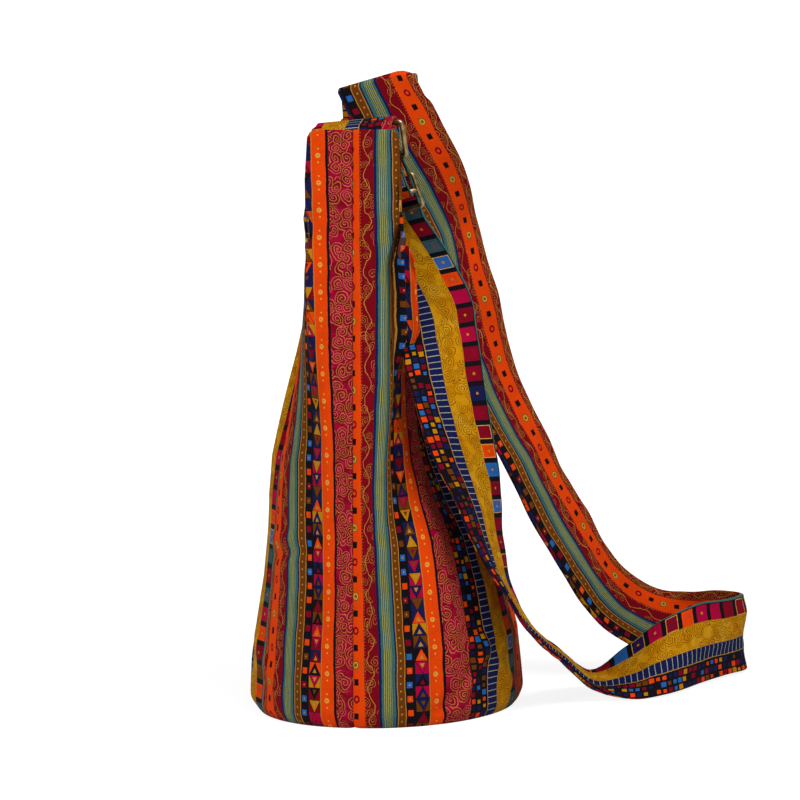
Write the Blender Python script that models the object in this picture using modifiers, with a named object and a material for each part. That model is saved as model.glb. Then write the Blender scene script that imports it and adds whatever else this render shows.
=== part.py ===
"""Printed cotton bucket bag with a round base, two raised ears at the side seams and a
wide shoulder strap, which hangs in a metal ring and is set by a three-bar adjuster.

Metres, +Z up. The origin is the middle of the base on the floor. X runs from the far
side seam to the near one, which carries the ring. The front panel faces -Y.
"""

import math

import bmesh
import bpy
from mathutils import Vector

# Bag
BASE_RADIUS = 0.090
EAR_TOP = 0.391
EAR_HALF_SPAN = 0.040
EAR_HALF_WIDTH = 0.0305
CLOTH = 0.0020
GAP = 0.0003
SEAM_FLAT = 0.0025
BASE_THICKNESS = 0.004
TUCK_HEIGHT = 0.010
TUCK = 0.005

# The mouth beside an ear, to the front (-1) and to the back (1): its height there, its
# height in the middle and the length over which it comes down.
RIM_AT_EAR = {-1: 0.335, 1: 0.296}
RIM_LOW = {-1: 0.262, 1: 0.246}
RIM_RUN = {-1: 0.055, 1: 0.012}
RIM_STEP = 0.003
RIM_POWER = 0.6

# Gathers
GATHER_DEPTH = 0.009
GATHERS = 2
GATHER_START = 0.36
GATHER_MIDDLE = 0.42
GATHER_FADE = 0.2

# The flat section: a nose at the seam, which is narrow low down and as wide and flat as
# the ear from EAR_FROM up, and a wall behind it that curves in.
EAR_FROM = {-1: 0.25, 1: 0.30}
EAR_BLEND = {-1: 0.05, 1: 0.04}
NOSE_HALF_WIDTH = 0.018
NOSE_DEPTH = 0.45
EAR_NOSE_DEPTH = 0.02
WALL_POWER = 3
WALL_TURN = 2.2

# Panel's grid
PANEL_COLUMNS = 12
PANEL_ROWS = 19
LOW_ROWS = (0.0, 0.008, 0.016, 0.028)
NOSE_COLUMNS = (0.009, 0.016, 0.024)

# Strap
STRAP_WIDTH = 0.054
STRAP_THICKNESS = 0.0018
STRAP_STEP = 0.011

# Ring
RING_BAR = 0.0020
RING_HEIGHT = 0.023
RING_CORNER = 0.0025
STRAP_FIT = 0.0006
RING_TOP = Vector((0.0205, -0.002, 0.3915))
RING_TILT = math.radians(5)
RING_LEAN = math.radians(6)

# Tab that holds the ring
TAB_TAIL = 0.026
TAB_CLEARANCE = 0.0004
TAB_SEAT = 0.0010

# Adjuster
ADJUSTER_HEIGHT = 0.026
ADJUSTER_BAR = 0.0015
ADJUSTER_CORNER = 0.0025
ADJUSTER_DOWN = 0.0290
LOOP_CLEARANCE = 0.0005
LAP_LENGTH = 0.018
STRAP_DOWN = Vector((-0.128, 0.259, -0.957))

# Path of the tab, in its own plane (inwards, up), before and after its loop, and the
# angles of the loop round the ring's bar.
TAB_RISE = ((0, -TAB_TAIL), (0, -0.012), (0.0004, -0.005), (0.003, 0.0005))
TAB_RETURN = ((0.0035, -0.004), (0.0004, -0.009), (0, -0.013), (0, -TAB_TAIL))
TAB_LOOP_START = 70
TAB_LOOP_TURN = 230
TAB_LOOP_STEPS = 10

# Distances down the straight stretch of the strap at which it has an edge
LAP_STATIONS = (LAP_LENGTH, 0.012, 0.006)
BEHIND_STATIONS = (0.006, 0.012, 0.018, 0.029, 0.040, 0.048)
BEHIND_START = 0.004
BEHIND_RUN = 0.012
TWIST_RUN = 0.018

# The sewn end of the strap above and below the adjuster's middle bar
END_RISE = (-0.018, -0.014, -0.010)
END_TAIL = (-0.004, -0.0085)
END_WIDTH_SHARE = 0.97
HALF_TURN_STEPS = 8

# Colours of the finishes
COLOURS = {
    "print_cloth": (0.45, 0.06, 0.05, 1.0),
    "base_cloth": (0.10, 0.02, 0.02, 1.0),
    "brass": (0.16, 0.11, 0.05, 1.0),
}

# Heights of the sections, with the half depth to the front and to the back, and how
# far the round section has closed into a flat one (0 round, 1 flat).
SECTIONS = (
    (0.000, 0.088, 0.088, 0.0),
    (0.050, 0.0845, 0.0865, 0.0),
    (0.090, 0.0775, 0.079, 0.05),
    (0.120, 0.075, 0.070, 0.15),
    (0.145, 0.074, 0.055, 0.3),
    (0.170, 0.071, 0.043, 0.5),
    (0.200, 0.0622, 0.035, 0.7),
    (0.235, 0.0525, 0.031, 0.85),
    (0.275, 0.042, 0.029, 0.95),
    (0.320, 0.038, 0.029, 1.0),
    (0.391, 0.033, 0.030, 1.0),
)

# The strap below the adjuster: the middle of its width, the direction across it from
# its left edge to its right one, and how much of its width it lies open there.
STRAP_ROUTE = (
    ((0.0115, 0.0280, 0.3000), (-0.20, 0.96, 0.20), 1.0),
    ((0.0170, 0.0440, 0.2720), (-0.42, 0.89, 0.16), 1.0),
    ((0.0260, 0.0510, 0.2480), (-0.56, 0.82, 0.08), 1.0),
    ((0.0340, 0.0570, 0.2230), (-0.64, 0.77, 0.00), 1.0),
    ((0.0380, 0.0630, 0.1980), (-0.69, 0.72, -0.05), 1.0),
    ((0.0400, 0.0700, 0.1720), (-0.82, 0.57, -0.08), 1.0),
    ((0.0370, 0.0770, 0.1450), (-0.93, 0.35, -0.13), 1.0),
    ((0.0340, 0.0840, 0.1160), (-0.99, 0.12, -0.11), 1.0),
    ((0.0330, 0.0960, 0.0860), (-0.97, -0.18, -0.14), 1.0),
    ((0.0180, 0.1070, 0.0550), (-0.96, -0.25, -0.09), 1.0),
    ((-0.0160, 0.1160, 0.0330), (-0.96, -0.27, -0.05), 1.0),
    ((-0.0370, 0.1330, 0.0190), (-0.95, -0.28, 0.12), 1.0),
    ((-0.0430, 0.1560, 0.0140), (-0.90, -0.28, 0.34), 1.0),
    ((-0.0520, 0.1780, 0.0230), (-0.58, -0.20, 0.79), 1.0),
    ((-0.0770, 0.1940, 0.0285), (-0.12, -0.03, 0.99), 1.0),
    ((-0.0980, 0.2050, 0.0288), (0.12, 0.04, 0.99), 1.0),
    ((-0.1190, 0.2150, 0.0288), (0.15, 0.05, 0.99), 1.0),
    ((-0.1280, 0.2110, 0.0288), (0.08, 0.03, 0.99), 1.0),
    ((-0.1290, 0.1990, 0.0285), (-0.10, -0.02, 0.99), 1.0),
    ((-0.1300, 0.1790, 0.0275), (-0.42, -0.06, 0.90), 1.0),
    ((-0.1210, 0.1500, 0.0380), (-0.78, 0.10, 0.60), 1.0),
    ((-0.1050, 0.1260, 0.0620), (-0.80, 0.16, 0.57), 1.0),
    ((-0.0890, 0.1025, 0.1110), (-0.86, 0.25, 0.43), 1.0),
    ((-0.0800, 0.0860, 0.1490), (-0.92, 0.30, 0.24), 1.0),
    ((-0.0710, 0.0620, 0.2090), (-0.87, 0.40, 0.30), 1.0),
    ((-0.0620, 0.0490, 0.2700), (-0.80, 0.55, 0.18), 1.0),
    ((-0.0570, 0.0410, 0.3100), (-0.88, 0.42, 0.20), 1.0),
    ((-0.0390, 0.0320, 0.3450), (-0.50, 0.82, 0.28), 0.95),
    ((-0.0310, 0.0160, 0.3790), (-0.20, 0.93, 0.32), 1.0),
)
FOLD_MIDDLE = Vector((-0.0315, -0.001, 0.4155))
FOLD_ACROSS = Vector((-0.05, 0.95, 0.26))
FOLD_RADIUS = 0.0022
FOLD_STEPS = 4
FOLD_WIDTH_SHARE = 1.03
FOLD_FOOT = 0.415
FOLD_RUN = 0.024
STRAP_SEWN = 0.022
SEWN_HEIGHTS = (0.4030, 0.3930, EAR_TOP - 0.004, EAR_TOP - STRAP_SEWN)

COLLECTION = "bucket_bag"


def clear_scene():
    """Takes out the objects that a new file starts with."""
    for obj in list(bpy.data.objects):
        bpy.data.objects.remove(obj, do_unlink=True)


def material(name, metallic=0.0, roughness=0.85):
    """One plain finish in the part's colour."""
    made = bpy.data.materials.get(name) or bpy.data.materials.new(name)
    made.use_nodes = True
    shader = made.node_tree.nodes["Principled BSDF"]
    shader.inputs["Base Color"].default_value = COLOURS[name]
    shader.inputs["Metallic"].default_value = metallic
    shader.inputs["Roughness"].default_value = roughness
    made.diffuse_color = COLOURS[name]
    return made


def add_object(name, mesh, finish):
    """Links a mesh as a named part."""
    made = bpy.data.objects.new(name, mesh)
    made.data.materials.append(finish)
    bpy.data.collections[COLLECTION].objects.link(made)
    return made


def lerp(a, b, t):
    """The value a share t of the way from a to b."""
    return a + (b - a) * t


def smooth(t):
    """An even start and stop between 0 and 1."""
    t = min(1.0, max(0.0, t))
    return t * t * (3 - 2 * t)


def section_at(z):
    """Half depths to the front and back, and the closing, at a height."""
    for low, high in zip(SECTIONS, SECTIONS[1:]):
        if z <= high[0]:
            t = (z - low[0]) / (high[0] - low[0])
            return tuple(lerp(a, b, t) for a, b in zip(low[1:], high[1:]))
    return SECTIONS[-1][1:]


def seam_x(z):
    """How far the side seam is from the middle at a height."""
    return lerp(BASE_RADIUS, EAR_HALF_SPAN, z / EAR_TOP)


def girth():
    """Half of one panel's width as it was cut."""
    return math.pi * BASE_RADIUS / 2


def rim_height(u, side):
    """The mouth's height at a distance u from the side seam, along the cloth."""
    past = u - EAR_HALF_WIDTH
    beside, low = RIM_AT_EAR[side], RIM_LOW[side]
    if past <= 0:
        return EAR_TOP
    if past < RIM_STEP:
        return lerp(EAR_TOP, beside, past / RIM_STEP)
    return lerp(beside, low, smooth((past - RIM_STEP) / RIM_RUN[side]) ** RIM_POWER)


def panel_point(u, z, side):
    """A point of the outer face: u along the cloth from the near seam, side -1 front, 1 back."""
    full = 2 * girth()
    mirror = -1 if u > girth() else 1
    # The cloth beside a seam lies square to X, so that the two panels meet flat.
    flat = min(u, full - u, SEAM_FLAT)
    own = (min(u, full - u) - flat) / (girth() - SEAM_FLAT) * girth()
    angle = own / girth() * math.pi / 2
    front, back, closed = section_at(z)
    depth = front if side < 0 else back
    seam = seam_x(z)
    tuck = TUCK * (1 - min(1.0, z / TUCK_HEIGHT)) ** 2
    round_x = (seam - tuck) * math.cos(angle)
    round_y = (depth - tuck) * math.sin(angle)
    ear = smooth((z - EAR_FROM[side]) / EAR_BLEND[side])
    nose = lerp(NOSE_DEPTH, EAR_NOSE_DEPTH, ear)
    along = own / girth()
    half = lerp(NOSE_HALF_WIDTH, EAR_HALF_WIDTH, ear)
    if own < half:
        flat_x = seam - nose * own * own / half / 2
        flat_y = own
    else:
        corner_x = seam - nose * half / 2
        past = (own - half) / (girth() - half)
        flat_y = lerp(half, depth, 1 - (1 - past) ** WALL_POWER)
        flat_x = corner_x * (1 - past) ** WALL_TURN
    flat_y = min(flat_y, max(depth, half))
    wave = math.sin(past_middle(along) * math.pi * GATHERS) * GATHER_DEPTH
    flat_y -= (wave + GATHER_DEPTH) * 0.5 * gathered(along)
    x = lerp(round_x, flat_x, closed)
    y = lerp(round_y, flat_y, closed)
    return Vector((mirror * x, side * (y + flat + GAP / 2), z))


def past_middle(along):
    """The place in the gathers' wave at a share of the way from the seam."""
    return (along - GATHER_MIDDLE) / (1 - GATHER_MIDDLE) * 2 - 0.5


def gathered(along):
    """How much of the gathers shows, from none near the seam to all in the middle."""
    return smooth((along - GATHER_START) / GATHER_FADE)


def columns():
    """Distances along the cloth at which a panel has an edge."""
    start = EAR_HALF_WIDTH + RIM_STEP
    half = [0.0, SEAM_FLAT, *NOSE_COLUMNS, EAR_HALF_WIDTH, start]
    half += [lerp(start, girth(), (i + 1) / PANEL_COLUMNS) for i in range(PANEL_COLUMNS)]
    return half + [2 * girth() - u for u in reversed(half[:-1])]


def rows():
    """Shares of a panel's height at which it has an edge."""
    upper = [lerp(LOW_ROWS[-1], 1.0, (i + 1) / PANEL_ROWS) for i in range(PANEL_ROWS)]
    return [*LOW_ROWS, *upper]


def panel_mesh(name, side):
    """The open outer face of one panel, to be thickened inwards."""
    work = bmesh.new()
    grid = []
    for u in columns():
        top = rim_height(min(u, 2 * girth() - u), side)
        grid.append([work.verts.new(panel_point(u, top * v, side)) for v in rows()])
    for left, right in zip(grid, grid[1:]):
        for i in range(len(left) - 1):
            corners = [left[i], right[i], right[i + 1], left[i + 1]]
            work.faces.new(corners if side > 0 else corners[::-1])
    mesh = bpy.data.meshes.new(name)
    work.to_mesh(mesh)
    work.free()
    return mesh


def add_panel(name, side, finish):
    """One panel of the body, thickened inwards."""
    panel = add_object(name, panel_mesh(name, side), finish)
    panel.data.shade_smooth()
    solid = panel.modifiers.new("cloth", "SOLIDIFY")
    solid.thickness = CLOTH
    solid.offset = -1.0
    solid.use_even_offset = False
    return panel


def add_base(finish):
    """The round bottom, a padded disc inside the panels' lower edge."""
    radius = BASE_RADIUS - TUCK - CLOTH - 2 * GAP
    work = bmesh.new()
    bmesh.ops.create_cone(
        work,
        cap_ends=True,
        segments=64,
        radius1=radius,
        radius2=radius,
        depth=BASE_THICKNESS,
    )
    bmesh.ops.translate(work, verts=work.verts, vec=(0, 0, BASE_THICKNESS / 2))
    mesh = bpy.data.meshes.new("base_panel")
    work.to_mesh(mesh)
    work.free()
    base = add_object("base_panel", mesh, finish)
    bevel = base.modifiers.new("edge", "BEVEL")
    bevel.width = BASE_THICKNESS * 0.3
    bevel.segments = 2
    bevel.limit_method = "ANGLE"
    return base


def ring_axis():
    """The direction of the ring's bars."""
    return Vector((0, math.cos(RING_TILT), math.sin(RING_TILT)))


def ring_down():
    """From the ring's upper bar to its lower one."""
    straight = Vector((-math.sin(RING_LEAN), 0, -math.cos(RING_LEAN)))
    return (straight - ring_axis() * straight.dot(ring_axis())).normalized()


def ring_bottom():
    """The middle of the ring's lower bar."""
    return RING_TOP + ring_down() * RING_HEIGHT


def wire_frame(name, middle, across, down, width, height, corner, bar, finish):
    """A closed rectangle of round wire with round corners, sized to the wire's middle."""
    curve = bpy.data.curves.new(name, "CURVE")
    curve.dimensions = "3D"
    curve.bevel_depth = bar
    curve.bevel_resolution = 2
    points = []
    for sx, sy, start in ((1, 1, 0), (-1, 1, 90), (-1, -1, 180), (1, -1, 270)):
        for step in range(4):
            angle = math.radians(start + step * 30)
            x = sx * (width / 2 - corner) + corner * math.cos(angle)
            y = sy * (height / 2 - corner) + corner * math.sin(angle)
            points.append(across * x + down * y)
    spline = curve.splines.new("POLY")
    spline.points.add(len(points) - 1)
    for point, place in zip(spline.points, points):
        point.co = (*place, 1)
    spline.use_cyclic_u = True
    made = bpy.data.objects.new(name, curve)
    made.location = middle
    curve.materials.append(finish)
    bpy.data.collections[COLLECTION].objects.link(made)
    return made


def add_ring(finish):
    """The rectangular ring, whose origin is on its upper bar, the hinge's axis."""
    ring = wire_frame(
        "strap_ring",
        RING_TOP,
        ring_axis(),
        ring_down(),
        STRAP_WIDTH + 2 * (STRAP_FIT + RING_CORNER),
        RING_HEIGHT,
        RING_CORNER,
        RING_BAR,
        finish,
    )
    for point in ring.data.splines[0].points:
        shifted = Vector(point.co[:3]) + ring_down() * RING_HEIGHT / 2
        point.co = (*shifted, 1)
    return ring


def strap_frame():
    """The straight stretch from the ring down: its top, its direction, across and out."""
    start = ring_bottom()
    down = STRAP_DOWN.normalized()
    side = Vector((0, 1, 0))
    across = (side - down * side.dot(down)).normalized()
    return start, down, across, down.cross(across)


def loft_strip(name, lines, thickness, finish):
    """A closed flat strip through cross lines, each of points with the way out at each."""
    work = bmesh.new()
    rings = []
    for points, outs in lines:
        top = [work.verts.new(p + n * thickness / 2) for p, n in zip(points, outs)]
        low = [work.verts.new(p - n * thickness / 2) for p, n in zip(points, outs)]
        rings.append(top + low[::-1])
    for a, b in zip(rings, rings[1:]):
        for i in range(len(a)):
            j = (i + 1) % len(a)
            work.faces.new([a[i], a[j], b[j], b[i]])
    for ring in (rings[0], rings[-1]):
        half = len(ring) // 2
        for i in range(half - 1):
            work.faces.new([ring[i], ring[i + 1], ring[-2 - i], ring[-1 - i]])
    bmesh.ops.recalc_face_normals(work, faces=work.faces)
    mesh = bpy.data.meshes.new(name)
    work.to_mesh(mesh)
    work.free()
    mesh.shade_smooth()
    mesh.set_sharp_from_angle(angle=math.radians(40))
    return add_object(name, mesh, finish)


def spline_point(a, b, c, d, t):
    """A point of the smooth curve through b and c."""
    return 0.5 * (
        2 * b + (c - a) * t + (2 * a - 5 * b + 4 * c - d) * t**2 + (3 * b - a - 3 * c + d) * t**3
    )


def cross_line(middle, across, share):
    """The two edge points of the strap at one place."""
    return middle - across * STRAP_WIDTH * share / 2, middle + across * STRAP_WIDTH * share / 2


def half_turn():
    """The angles of a strap's turn round a bar."""
    return [math.pi * step / HALF_TURN_STEPS for step in range(HALF_TURN_STEPS + 1)]


def top_lines():
    """The strap's start: its lapped end, round the ring's bar, down behind the adjuster."""
    start, down, across, out = strap_frame()
    bar = ring_axis()
    reach = RING_BAR + LOOP_CLEARANCE + STRAP_THICKNESS / 2
    behind = ADJUSTER_BAR + 2 * LOOP_CLEARANCE + STRAP_THICKNESS * 1.5
    lines = []
    for s in LAP_STATIONS:
        turn = smooth(s / LAP_LENGTH)
        lines.append((start + down * s + out * reach, lerp(bar, across, turn)))
    loop_out = down.cross(bar).normalized()
    loop_down = loop_out.cross(bar)
    if loop_down.dot(down) < 0:
        loop_down = -loop_down
    for angle in half_turn():
        offset = loop_out * math.cos(angle) - loop_down * math.sin(angle)
        lines.append((start + offset * reach, bar))
    for s in BEHIND_STATIONS:
        turn = smooth(s / TWIST_RUN)
        back = lerp(reach, behind, smooth((s - BEHIND_START) / BEHIND_RUN))
        lines.append((start + down * s - out * back, lerp(bar, across, turn)))
    return [cross_line(p, w.normalized(), 1.0) for p, w in lines]


def fold_lines():
    """The strap's far end: over the slanting fold and down inside the far ear."""
    across = FOLD_ACROSS.normalized()
    lines = []
    for step in range(FOLD_STEPS + 1):
        angle = math.pi * step / FOLD_STEPS
        offset = Vector((math.cos(angle), 0, math.sin(angle))) * FOLD_RADIUS
        lines.append(cross_line(FOLD_MIDDLE + offset, across, FOLD_WIDTH_SHARE))
    down_x = FOLD_MIDDLE.x - FOLD_RADIUS
    for z in SEWN_HEIGHTS:
        inside = -(seam_x(z) - CLOTH - 2 * GAP - STRAP_THICKNESS)
        x = lerp(down_x, inside, smooth((FOLD_FOOT - z) / FOLD_RUN))
        lines.append(cross_line(Vector((x, 0, z)), Vector((0, 1, 0)), 1.0))
    return lines


def strap_edges():
    """Left and right edge points along the whole strap."""
    edges = top_lines()
    route = [cross_line(Vector(m), Vector(w).normalized(), share) for m, w, share in STRAP_ROUTE]
    keys = [edges[-2], edges[-1], *route, *fold_lines()[:2]]
    for i in range(1, len(keys) - 2):
        quad = keys[i - 1 : i + 3]
        length = ((keys[i + 1][0] + keys[i + 1][1]) - (keys[i][0] + keys[i][1])).length / 2
        count = max(1, round(length / STRAP_STEP))
        for step in range(1, count + 1):
            t = step / count
            edges.append(tuple(spline_point(*(k[j] for k in quad), t) for j in (0, 1)))
    return edges + fold_lines()[1:]


def add_strap(finish):
    """The shoulder strap, one flat tube of cloth pressed to two layers."""
    edges = strap_edges()
    lines = []
    for i, (left, right) in enumerate(edges):
        before = edges[max(0, i - 1)]
        after = edges[min(len(edges) - 1, i + 1)]
        points, outs = [], []
        for share in (0.0, 0.5, 1.0):
            along = lerp(after[0], after[1], share) - lerp(before[0], before[1], share)
            points.append(lerp(left, right, share))
            outs.append(along.cross(right - left).normalized())
        lines.append((points, outs))
    return loft_strip("shoulder_strap", lines, STRAP_THICKNESS, finish)


def add_tab(finish):
    """The sewn tab: flat on the near ear's inside, up over its edge and round the ring's bar."""
    axis = ring_axis()
    wall = Vector((seam_x(1.0) - seam_x(0), 0, 1.0)).normalized()
    up = (wall - axis * wall.dot(axis)).normalized()
    inwards = up.cross(axis)
    if inwards.x > 0:
        inwards = -inwards
    face = seam_x(RING_TOP.z) - CLOTH - TAB_SEAT - STRAP_THICKNESS / 2
    root = Vector((face, RING_TOP.y, RING_TOP.z))
    reach = RING_BAR + TAB_CLEARANCE + STRAP_THICKNESS / 2
    to_bar = RING_TOP - root
    bar_x, bar_z = to_bar.dot(inwards), to_bar.dot(up)
    lap = STRAP_THICKNESS + GAP
    loop = []
    for step in range(TAB_LOOP_STEPS + 1):
        angle = math.radians(TAB_LOOP_START + TAB_LOOP_TURN * step / TAB_LOOP_STEPS)
        loop.append((bar_x - reach * math.cos(angle), bar_z + reach * math.sin(angle)))
    path = [*TAB_RISE, *loop, *((lap + a, b) for a, b in TAB_RETURN)]
    points = [root + inwards * a + up * b for a, b in path]
    lines = []
    for i, point in enumerate(points):
        along = points[min(len(points) - 1, i + 1)] - points[max(0, i - 1)]
        out = along.cross(axis).normalized()
        left, right = point - axis * STRAP_WIDTH / 2, point + axis * STRAP_WIDTH / 2
        lines.append(([left, lerp(left, right, 0.5), right], [out] * 3))
    return loft_strip("ring_tab", lines, STRAP_THICKNESS, finish)


def adjuster_width():
    """The adjuster's width to the middle of its wire."""
    return STRAP_WIDTH + 2 * (STRAP_FIT + ADJUSTER_CORNER)


def adjuster_middle():
    """The middle of the adjuster's middle bar."""
    start, down, _, _ = strap_frame()
    return start + down * ADJUSTER_DOWN


def add_adjuster(finish):
    """The three-bar adjuster: a wire frame with a middle bar that ends in its sides."""
    _, down, across, _ = strap_frame()
    frame = wire_frame(
        "adjuster_frame",
        adjuster_middle(),
        across,
        down,
        adjuster_width(),
        ADJUSTER_HEIGHT - 2 * ADJUSTER_BAR,
        ADJUSTER_CORNER,
        ADJUSTER_BAR,
        finish,
    )
    bpy.context.view_layer.update()
    graph = bpy.context.evaluated_depsgraph_get()
    mesh = bpy.data.meshes.new_from_object(frame.evaluated_get(graph))
    body = add_object("strap_adjuster", mesh, finish)
    body.matrix_world = frame.matrix_world
    bpy.data.objects.remove(frame)
    bar = add_middle_bar(across)
    union = body.modifiers.new("middle_bar", "BOOLEAN")
    union.operation = "UNION"
    union.object = bar
    return body


def add_middle_bar(across):
    """The middle bar, joined into the frame's sides."""
    work = bmesh.new()
    bmesh.ops.create_cone(
        work,
        cap_ends=True,
        segments=12,
        radius1=ADJUSTER_BAR,
        radius2=ADJUSTER_BAR,
        depth=adjuster_width(),
    )
    mesh = bpy.data.meshes.new("middle_bar")
    work.to_mesh(mesh)
    work.free()
    bar = bpy.data.objects.new("middle_bar", mesh)
    bar.location = adjuster_middle()
    bar.rotation_mode = "QUATERNION"
    bar.rotation_quaternion = across.to_track_quat("Z", "X")
    bar.hide_render = True
    bar.display_type = "WIRE"
    bpy.data.collections["cutters"].objects.link(bar)
    return bar


def add_strap_end(finish):
    """The strap's sewn end: round the adjuster's middle bar and up over the lapped end."""
    _, down, across, out = strap_frame()
    middle = adjuster_middle()
    reach = ADJUSTER_BAR + LOOP_CLEARANCE + STRAP_THICKNESS / 2
    front = RING_BAR + LOOP_CLEARANCE + STRAP_THICKNESS * 1.5 + GAP
    path = [(front, s) for s in END_RISE]
    path += [(reach * math.cos(angle), reach * math.sin(angle)) for angle in half_turn()]
    path += [(-reach, s) for s in END_TAIL]
    points = [middle + out * n + down * s for n, s in path]
    lines = []
    for i, point in enumerate(points):
        along = points[min(len(points) - 1, i + 1)] - points[max(0, i - 1)]
        normal = along.cross(across).normalized()
        left, right = cross_line(point, across, END_WIDTH_SHARE)
        lines.append(([left, lerp(left, right, 0.5), right], [normal] * 3))
    return loft_strip("strap_end", lines, STRAP_THICKNESS, finish)


def build():
    """Builds every part into the named collection."""
    clear_scene()
    for name in (COLLECTION, "cutters"):
        made = bpy.data.collections.get(name) or bpy.data.collections.new(name)
        if name not in bpy.context.scene.collection.children:
            bpy.context.scene.collection.children.link(made)
    bpy.data.collections["cutters"].hide_render = True
    cloth = material("print_cloth")
    metal = material("brass", metallic=1.0, roughness=0.35)
    add_panel("front_panel", -1, cloth)
    add_panel("back_panel", 1, cloth)
    add_base(material("base_cloth"))
    add_tab(cloth)
    add_ring(metal)
    add_strap(cloth)
    add_strap_end(cloth)
    add_adjuster(metal)


build()
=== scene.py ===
"""Looks of the printed cotton bucket bag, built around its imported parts.

Metres, +Z up. The near side seam is at +X and the strap hangs over the back panel, +Y.
Shader expressions work in centimetres of flat cloth: across the stripes and along them.
"""

import math

import bpy
import bmesh
from mathutils import Matrix, Vector, noise


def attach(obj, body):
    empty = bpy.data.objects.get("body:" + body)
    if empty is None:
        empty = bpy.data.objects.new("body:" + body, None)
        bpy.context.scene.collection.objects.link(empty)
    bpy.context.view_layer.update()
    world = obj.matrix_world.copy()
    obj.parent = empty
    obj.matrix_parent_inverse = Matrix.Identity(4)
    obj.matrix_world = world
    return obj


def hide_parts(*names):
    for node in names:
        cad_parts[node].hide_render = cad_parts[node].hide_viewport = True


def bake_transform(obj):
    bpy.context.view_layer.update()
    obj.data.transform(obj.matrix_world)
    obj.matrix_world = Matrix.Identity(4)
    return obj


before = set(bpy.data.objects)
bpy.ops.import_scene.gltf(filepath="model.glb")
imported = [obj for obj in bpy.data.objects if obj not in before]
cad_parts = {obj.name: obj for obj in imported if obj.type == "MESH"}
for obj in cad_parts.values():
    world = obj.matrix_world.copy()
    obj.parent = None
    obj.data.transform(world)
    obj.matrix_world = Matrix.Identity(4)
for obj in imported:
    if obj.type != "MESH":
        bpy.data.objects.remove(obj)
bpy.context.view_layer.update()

# Sizes of the bag, as in the part
BASE_RADIUS = 0.09
EAR_TOP = 0.391
EAR_HALF_SPAN = 0.04
EAR_HALF_WIDTH = 0.0305
CLOTH = 0.002
CLOTH_SHOWN = CLOTH * 0.8
GAP = 0.0003
SEAM_FLAT = 0.0025
BASE_THICKNESS = 0.004
BASE_SIDES = 128
TUCK_HEIGHT = 0.01
TUCK = 0.005
RIM_AT_EAR = {-1: 0.335, 1: 0.296}
RIM_LOW = {-1: 0.262, 1: 0.246}
RIM_RUN = {-1: 0.055, 1: 0.012}
RIM_STEP = 0.003
RIM_POWER = 0.6
GATHER_DEPTH = 0.009
GATHERS = 2
GATHER_START = 0.36
GATHER_MIDDLE = 0.42
GATHER_FADE = 0.2
EAR_FROM = {-1: 0.16, 1: 0.3}
EAR_BLEND = {-1: 0.12, 1: 0.04}
NOSE_HALF_WIDTH = 0.018
NOSE_DEPTH = 0.45
EAR_NOSE_DEPTH = 0.02
WALL_POWER = 3
WALL_TURN = 2.2

STRAP_WIDTH = 0.054
STRAP_THICKNESS = 0.0018
RING_BAR = 0.002
RING_HEIGHT = 0.023
RING_CORNER = 0.0025
STRAP_FIT = 0.0006
RING_TOP = Vector((0.0205, -0.002, 0.3915))
RING_TILT = math.radians(5)
RING_LEAN = math.radians(6)
TAB_TAIL = 0.026
TAB_CLEARANCE = 0.0004
TAB_SEAT = 0.001
ADJUSTER_HEIGHT = 0.026
ADJUSTER_BAR = 0.0015
ADJUSTER_CORNER = 0.0025
ADJUSTER_DOWN = 0.029
LOOP_CLEARANCE = 0.0005
LAP_LENGTH = 0.018
STRAP_DOWN = Vector((-0.128, 0.259, -0.957))
BEHIND_START = 0.004
BEHIND_RUN = 0.012
TWIST_RUN = 0.018
FOLD_MIDDLE = Vector((-0.0315, -0.001, 0.4155))
FOLD_ACROSS = Vector((-0.05, 0.95, 0.26))
FOLD_RADIUS = 0.0022
FOLD_FOOT = 0.415
FOLD_RUN = 0.024
STRAP_SEWN = 0.022
FOLD_SHARE = 1.03
INSIDE_TOP = 0.412
TURN_FROM = 0.415
TURN_RUN = 0.015

# The strap's hanging top corner: its depth, where it starts across, and from what height
CORNER_DROOP = 0.005
DROOP_FROM = 0.7
DROOP_SPAN = 0.3
DROOP_HEIGHT = 0.4
DROOP_RUN = 0.012

# Height, half depths to the front and the back, how far the section has its closed form
SECTIONS = (
    (0.0, 0.088, 0.088, 0.0),
    (0.05, 0.0845, 0.0865, 0.0),
    (0.09, 0.0775, 0.079, 0.05),
    (0.12, 0.075, 0.07, 0.15),
    (0.145, 0.074, 0.055, 0.3),
    (0.17, 0.071, 0.043, 0.5),
    (0.2, 0.0622, 0.035, 0.7),
    (0.235, 0.0525, 0.031, 0.85),
    (0.275, 0.042, 0.029, 0.95),
    (0.32, 0.038, 0.029, 1.0),
    (0.391, 0.033, 0.03, 1.0),
)

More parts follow.
